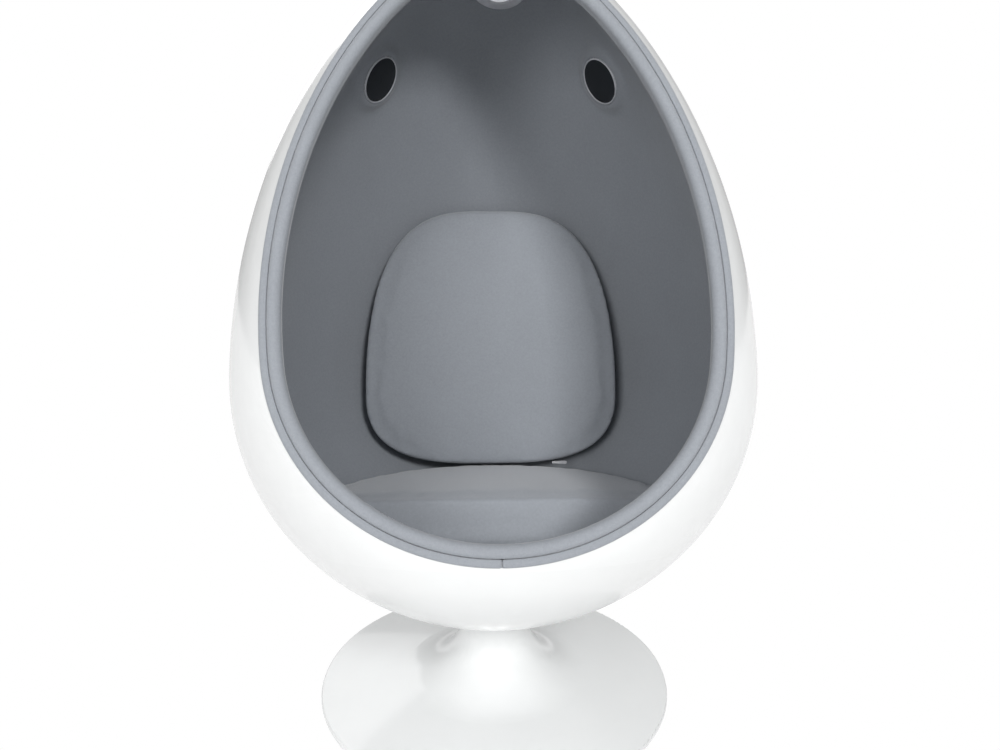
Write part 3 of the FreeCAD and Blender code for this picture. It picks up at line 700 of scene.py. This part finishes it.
def seat_ring(level, inset, front, smaller, count=48):
    """Outline of the seat at one level: two arcs round the bowl, two corners, and a front with a wide bow."""
    bowl = math.sqrt((BOWL_RADIUS - UNDER_SEAT) ** 2 - level**2) - inset - smaller
    bow = SEAT_BOW
    bow_centre = front + inset + smaller + bow
    corner = min(SEAT_CORNER, bowl / 3)
    y = (bow_centre**2 - (bow - corner) ** 2 + (bowl - corner) ** 2) / (2 * bow_centre)
    x = math.sqrt((bowl - corner) ** 2 - y**2)
    corner_centre = np.array([x, y])
    on_bowl = corner_centre / np.linalg.norm(corner_centre)
    on_front = (corner_centre - [0, bow_centre]) / np.linalg.norm(corner_centre - [0, bow_centre])
    between = (on_bowl + on_front) / np.linalg.norm(on_bowl + on_front)
    side, knuckle, front_end = (corner_centre + way * corner for way in (on_bowl, between, on_front))
    flip = np.array([-1.0, 1.0])
    turn = (math.pi / 2 + math.atan2(side[1], side[0])) / 2
    quarter = bowl * np.array([math.cos(turn), math.sin(turn)])
    back, middle = np.array([0.0, bowl]), np.array([0.0, front + inset + smaller])
    return np.concatenate([
        arc(flip * front_end, middle, front_end, 2 * count),
        arc(front_end, knuckle, side, count),
        arc(side, quarter, back, 2 * count),
        arc(back, flip * quarter, flip * side, 2 * count),
        arc(flip * side, flip * knuckle, flip * front_end, count),
    ])


def seat_points(smaller):
    """Stacked outlines from the bottom up to the crown, closed below by a flat and above by a wide sphere."""
    bottom, top, front = -0.384, -0.220, -0.062
    crown_radius, crown_back = 3.2, 0.100

    def crown(flat):
        return top - smaller - crown_radius + np.sqrt(
            crown_radius**2 - flat[..., 0] ** 2 - (flat[..., 1] - crown_back) ** 2
        )

    rings = []
    for share in np.linspace(0.0, 1.0, 28):
        level = bottom + smaller + (top + 0.008 - bottom - smaller) * share
        bulge = math.sin(math.pi * share)
        inset = 0.006 * (1 - bulge) if share > 0.5 else 0.002 + 0.004 * (1 - bulge)
        flat = seat_ring(level, inset, front - 0.006 * bulge, smaller)
        rings.append(np.column_stack([flat, np.minimum(level, crown(flat))]))
    low, high = rings[0], rings[-1]
    middle = np.array([0.0, 0.14])
    fractions = np.linspace(0.0, 1.0, 24)[:-1]
    cap_low = [np.column_stack([middle + (low[:, :2] - middle) * f, low[:, 2]]) for f in fractions]
    cap_high = []
    for f in fractions[::-1]:
        flat = middle + (high[:, :2] - middle) * f
        cap_high.append(np.column_stack([flat, crown(flat)]))
    return tilted(np.stack(cap_low + rings + cap_high), BOWL_CENTRE, SEAT_SLOPE)


class POD_OT_seat(bpy.types.Operator):
    """Loose seat cushion that follows the bowl, with a bowed front panel"""

    bl_idname = "pod_chair.seat_cushion"
    bl_label = "Seat cushion"

    def execute(self, context):
        sizes, colours = context.scene.pod_chair_sizes, context.scene.pod_chair_colours
        seat = surface("seat_cover", seat_points(sizes.cushion_start))
        face_outwards(seat)
        filled(seat, sizes, sizes.seat_swell)
        # The seat's cloth is painted 1.34 times lighter than the lining's: painted light for the stronger
        # light on the seat.
        seat.data.materials.append(wool("seat_wool_painted_light", colours.wool, painted_light=1.34))
        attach(seat, "seat")
        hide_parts("seat_cushion")
        return {"FINISHED"}


def back_points(smaller):
    """Sections across the cushion's thickness, from side to side: each has a bowed front and back and a round
    top and bottom, and the outline rises and drops as rounded powers of the distance from the middle."""
    half_width, height, widest = 0.260 - smaller, 0.530, 0.29
    side_thickness, crown, bow = 0.026, 0.046, 2.8
    shoulder, top_round, bottom_round = 3.2, 2.35, 2.6
    x = -half_width * np.cos(np.linspace(0.0, np.pi, 96))[1:-1]
    share = np.abs(x) / half_width
    thick = side_thickness + crown * np.sqrt(1 - share**4) - 2 * smaller
    rise = (height * (1 - widest) - smaller) * (1 - share**shoulder) ** (1 / top_round)
    drop = (height * widest - smaller) * (1 - share**shoulder) ** (1 / bottom_round)
    middle = height * widest
    edge = thick * 0.32
    front = -(x**2) / bow + smaller
    centre = front + thick / 2
    low, high = middle - drop, middle + rise
    half, heart = (high - low) / 2, (high + low) / 2
    at = lambda y, z: np.stack([y, z], -1)
    front_low, front_high = at(centre - edge, heart - half), at(centre - edge, heart + half)
    rear_low, rear_high = at(centre + edge, heart - half), at(centre + edge, heart + half)
    flat = np.concatenate([
        arc(front_low, at(front, heart), front_high, 60),
        arc(front_high, at(centre, heart + half + edge * 0.5), rear_high, 12),
        arc(rear_high, at(front + thick, heart), rear_low, 60),
        arc(rear_low, at(centre, heart - half - edge * 0.2), front_low, 12),
    ], axis=1)
    wide = np.broadcast_to(x[:, None], flat.shape[:2])
    points = np.concatenate([wide[..., None], flat], -1)
    ends = [np.broadcast_to(points[k].mean(0), points[k].shape) for k in (0, -1)]
    points = np.concatenate([ends[0][None], points, ends[1][None]])
    return tilted(points, BACK_FOOT, BACK_LEAN)


class POD_OT_back(bpy.types.Operator):
    """Loose back cushion, a crowned shield shape, and its zip pull"""

    bl_idname = "pod_chair.back_cushion"
    bl_label = "Back cushion"

    def execute(self, context):
        sizes, colours = context.scene.pod_chair_sizes, context.scene.pod_chair_colours
        back = surface("back_cover", back_points(sizes.cushion_start))
        face_outwards(back)
        filled(back, sizes, sizes.back_swell)
        # The back's cloth is painted 1.22 times lighter than the lining's: painted light for the stronger
        # light on the back cushion.
        back.data.materials.append(wool("back_wool_painted_light", colours.wool, painted_light=1.22))
        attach(back, "back")
        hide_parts("back_cushion")
        dress(["zip_pull"], metal("zip_plate", (0.8, 0.8, 0.82), 0.18))
        return {"FINISHED"}


# Hard parts
class POD_OT_shell(bpy.types.Operator):
    """Gel coat on the shell and the foot, rubber under the foot and in the cable hole"""

    bl_idname = "pod_chair.shell"
    bl_label = "Shell and foot"

    def execute(self, context):
        colours = context.scene.pod_chair_colours
        dress(["egg_shell"], gel_coat("shell_gel_coat", colours.gel_coat))
        dress(["base_cover"], gel_coat("foot_gel_coat", colours.gel_coat))
        dress(["foot_ring", "cable_grommet", "saddle_pad"], moulded("black_rubber", (0.02, 0.02, 0.021), 0.6))
        return {"FINISHED"}


class POD_OT_swivel(bpy.types.Operator):
    """Finishes of the steel, bronze and nylon pieces of the swivel"""

    bl_idname = "pod_chair.swivel"
    bl_label = "Swivel"

    def execute(self, context):
        dress(
            ["floor_plate", "column", "pivot_flange", "backing_plate"],
            moulded("black_primer", (0.018, 0.018, 0.020), 0.5),
        )
        dress(
            ["lower_race", "upper_race", "thrust_balls", "spindle", "retaining_clip", "retaining_washer",
             "pivot_bolts", "column_screws"],
            metal("bright_steel", (0.60, 0.61, 0.63), 0.22, 0.1),
        )
        dress(["lower_bush", "upper_bush"], metal("bronze", (0.55, 0.38, 0.18), 0.35))
        dress(["ball_cage"], moulded("nylon", (0.66, 0.63, 0.52), 0.5))
        return {"FINISHED"}


GRILLE_PITCH = 0.0026


def grille_finish(name, colour, point, inward):
    """Open cloth of a grille: a square net of small holes along two directions of the loudspeaker's face."""
    first = np.cross(inward, [0.0, 0.0, 1.0])
    first /= np.linalg.norm(first)
    second = np.cross(inward, first)
    pitch = 2 * math.pi / GRILLE_PITCH
    finish = Finish(name, Metallic=0.3, Specular_IOR_Level=0.4)
    across = (finish.along(tuple(first * pitch)) + float(-point @ first * pitch)).wave()
    up = (finish.along(tuple(second * pitch)) + float(-point @ second * pitch)).wave()
    hole = (across * up).above(0.12, 0.15)
    finish.vary("Base Color", finish.mix(hole, solid(colour, 2.6), solid(colour, 0.25)))
    finish.vary("Roughness", hole * 0.3 + 0.38)
    finish.vary("Normal", finish.bump(1.0 - hole, 0.0005, 0.8))
    return finish.material


class POD_OT_speakers(bpy.types.Operator):
    """Finishes of the two loudspeakers"""

    bl_idname = "pod_chair.loudspeakers"
    bl_label = "Loudspeakers"

    def execute(self, context):
        colours = context.scene.pod_chair_colours
        silver = moulded("speaker_silver", colours.silver, 0.3)
        hidden = {
            "riser": moulded("birch_plywood", (0.45, 0.31, 0.17), 0.7),
            "basket": moulded("basket_enamel", (0.02, 0.02, 0.02), 0.35),
            "magnet": moulded("magnet_ferrite", (0.035, 0.035, 0.037), 0.6),
            "surround": moulded("surround_rubber", (0.02, 0.02, 0.02), 0.55),
            "cone": moulded("paper_cone", (0.03, 0.03, 0.03), 0.7),
            "dust_cap": moulded("dust_cap_cloth", (0.03, 0.03, 0.03), 0.7),
            "screws": metal("speaker_screws", (0.5, 0.5, 0.52), 0.3),
        }
        for side, sign in (("left", -1.0), ("right", 1.0)):
            point, inward = speaker_place(sign)
            dress([f"speaker_{side}_grille"], grille_finish(f"grille_{side}", colours.grille, point, inward))
            dress([f"speaker_{side}_bezel"], silver)
            for piece, material in hidden.items():
                dress([f"speaker_{side}_{piece}"], material)
        return {"FINISHED"}


class POD_OT_lamp(bpy.types.Operator):
    """Finishes of the reading lamp"""

    bl_idname = "pod_chair.lamp"
    bl_label = "Reading lamp"

    def execute(self, context):
        colours = context.scene.pod_chair_colours
        dress(["lamp_bezel"], moulded("lamp_silver", colours.silver, 0.32))
        dress(["lamp_housing"], metal("spun_aluminium", (0.7, 0.7, 0.71), 0.35))
        dress(["lamp_board"], moulded("lamp_board_white", (0.75, 0.75, 0.72), 0.5))
        lens = Finish("opal_lens", Coat_Weight=0.6, Emission_Strength=0.35)
        frost = lens.noise(60.0, 2.0)
        lens.vary("Base Color", lens.mix(frost, solid(colours.lens, 0.96), solid(colours.lens)))
        lens.vary("Emission Color", solid(colours.lens))
        lens.vary("Roughness", frost * 0.1 + 0.2)
        dress(["lamp_diffuser"], lens.material)
        return {"FINISHED"}


# Studio
SHARE_REFLECTED = 0.85
FLOOR_EDGE = 30.0


def area_light(name, place, target, side, power):
    """Square light of a side and a power in watts, turned to its target."""
    light = bpy.data.lights.new(name, "AREA")
    light.size = side
    light.energy = power
    lamp = bpy.data.objects.new(name, light)
    bpy.context.scene.collection.objects.link(lamp)
    lamp.location = place
    lamp.rotation_euler = (Vector(target) - Vector(place)).to_track_quat("-Z", "Y").to_euler()


class POD_OT_stage(bpy.types.Operator):
    """Pale floor, white surroundings, soft lights and the camera"""

    bl_idname = "pod_chair.stage"
    bl_label = "Studio"

    def execute(self, context):
        scene = context.scene
        scene.view_settings.view_transform = "Standard"
        self.floor(scene.pod_chair_colours)
        self.world(scene)
        area_light("key", (0.93, -2.86, 2.12), (0.0, 0.05, 0.62), 0.6, 58.0)
        area_light("fill", (-1.33, -2.81, 1.75), (0.0, 0.05, 0.62), 1.2, 40.0)
        area_light("back", (-0.5, 2.6, 2.2), (0.0, 0.1, 0.8), 2.0, 16.0)
        self.camera(scene)
        return {"FINISHED"}

    def floor(self, colours):
        """One flat square, white to the camera and nearly white in reflections."""
        ends = (-FLOOR_EDGE, FLOOR_EDGE)
        y, x = np.meshgrid(ends, ends, indexing="ij")
        floor = surface("floor", np.stack([x, y, np.zeros_like(x)], -1), closed_columns=False)
        paint = Finish("floor_paint", Roughness=0.7)
        tint = paint.mix(paint.noise(2.0), solid(colours.floor, 0.99), solid(colours.floor))
        paint.vary("Base Color", tint)
        ray = lambda kind: paint.node("ShaderNodeLightPath", out=f"Is {kind} Ray")
        seen, through, glossy = ray("Camera"), ray("Transmission"), ray("Glossy")
        white = paint.node("ShaderNodeEmission", None, {"Strength": 1.0})
        painted = Signal(paint, paint.shader.outputs[0])
        share = seen + through + glossy * SHARE_REFLECTED
        mixed = paint.node("ShaderNodeMixShader", None, {0: share, 1: painted, 2: white})
        paint.feed(paint.tree.nodes["Material Output"].inputs["Surface"], mixed)
        floor.data.materials.append(paint.material)

    def world(self, scene):
        """Even white surroundings, plain white to the camera and through glass."""
        world = bpy.data.worlds.new("studio")
        world.use_nodes = True
        scene.world = world
        nodes, links = world.node_tree.nodes, world.node_tree.links
        room = nodes["Background"]
        room.inputs["Color"].default_value = (1.0, 1.0, 1.0, 1.0)
        room.inputs["Strength"].default_value = 0.45
        white = nodes.new("ShaderNodeBackground")
        white.inputs["Color"].default_value = (1.0, 1.0, 1.0, 1.0)
        path = nodes.new("ShaderNodeLightPath")
        seen = nodes.new("ShaderNodeMath")
        seen.operation = "MAXIMUM"
        links.new(path.outputs["Is Camera Ray"], seen.inputs[0])
        links.new(path.outputs["Is Transmission Ray"], seen.inputs[1])
        mixed = nodes.new("ShaderNodeMixShader")
        links.new(seen.outputs[0], mixed.inputs[0])
        links.new(room.outputs[0], mixed.inputs[1])
        links.new(white.outputs[0], mixed.inputs[2])
        links.new(mixed.outputs[0], nodes["World Output"].inputs["Surface"])

    def camera(self, scene):
        """The photograph's view: a little left of the middle, looking slightly down."""
        lens = bpy.data.cameras.new("camera")
        lens.sensor_width = 36.0
        lens.lens = 26.393
        camera = bpy.data.objects.new("camera", lens)
        scene.collection.objects.link(camera)
        camera.location = (-0.0307, -1.2284, 0.8033)
        down, aside = math.radians(10.86), math.radians(-1.9)
        camera.rotation_euler = (math.pi / 2 - down, 0.0, aside)
        scene.camera = camera


OPERATORS = (
    POD_OT_stage, POD_OT_shell, POD_OT_swivel, POD_OT_lining, POD_OT_rim,
    POD_OT_seat, POD_OT_back, POD_OT_speakers, POD_OT_lamp,
)


class POD_PT_chair(bpy.types.Panel):
    """Sizes, colours and pieces of the chair"""

    bl_idname = "POD_PT_chair"
    bl_label = "Pod Chair"
    bl_space_type = "VIEW_3D"
    bl_region_type = "UI"
    bl_category = "Pod Chair"

    def draw(self, context):
        layout = self.layout
        for group in (context.scene.pod_chair_sizes, context.scene.pod_chair_colours):
            for key in group.bl_rna.properties.keys():
                if key not in ("rna_type", "name"):
                    layout.prop(group, key)
        for operator in OPERATORS:
            layout.operator(operator.bl_idname)


CLASSES = (PodChairSizes, PodChairColours) + OPERATORS + (POD_PT_chair,)


def register():
    for item in CLASSES:
        bpy.utils.register_class(item)
    bpy.types.Scene.pod_chair_sizes = PointerProperty(type=PodChairSizes)
    bpy.types.Scene.pod_chair_colours = PointerProperty(type=PodChairColours)


def unregister():
    del bpy.types.Scene.pod_chair_colours
    del bpy.types.Scene.pod_chair_sizes
    for item in reversed(CLASSES):
        bpy.utils.unregister_class(item)


def main():
    register()
    bpy.ops.pod_chair.stage()
    bpy.ops.pod_chair.shell()
    bpy.ops.pod_chair.swivel()
    bpy.ops.pod_chair.lining()
    bpy.ops.pod_chair.rim()
    bpy.ops.pod_chair.seat_cushion()
    bpy.ops.pod_chair.back_cushion()
    bpy.ops.pod_chair.loudspeakers()
    bpy.ops.pod_chair.lamp()


if __name__ == "__main__":
    main()
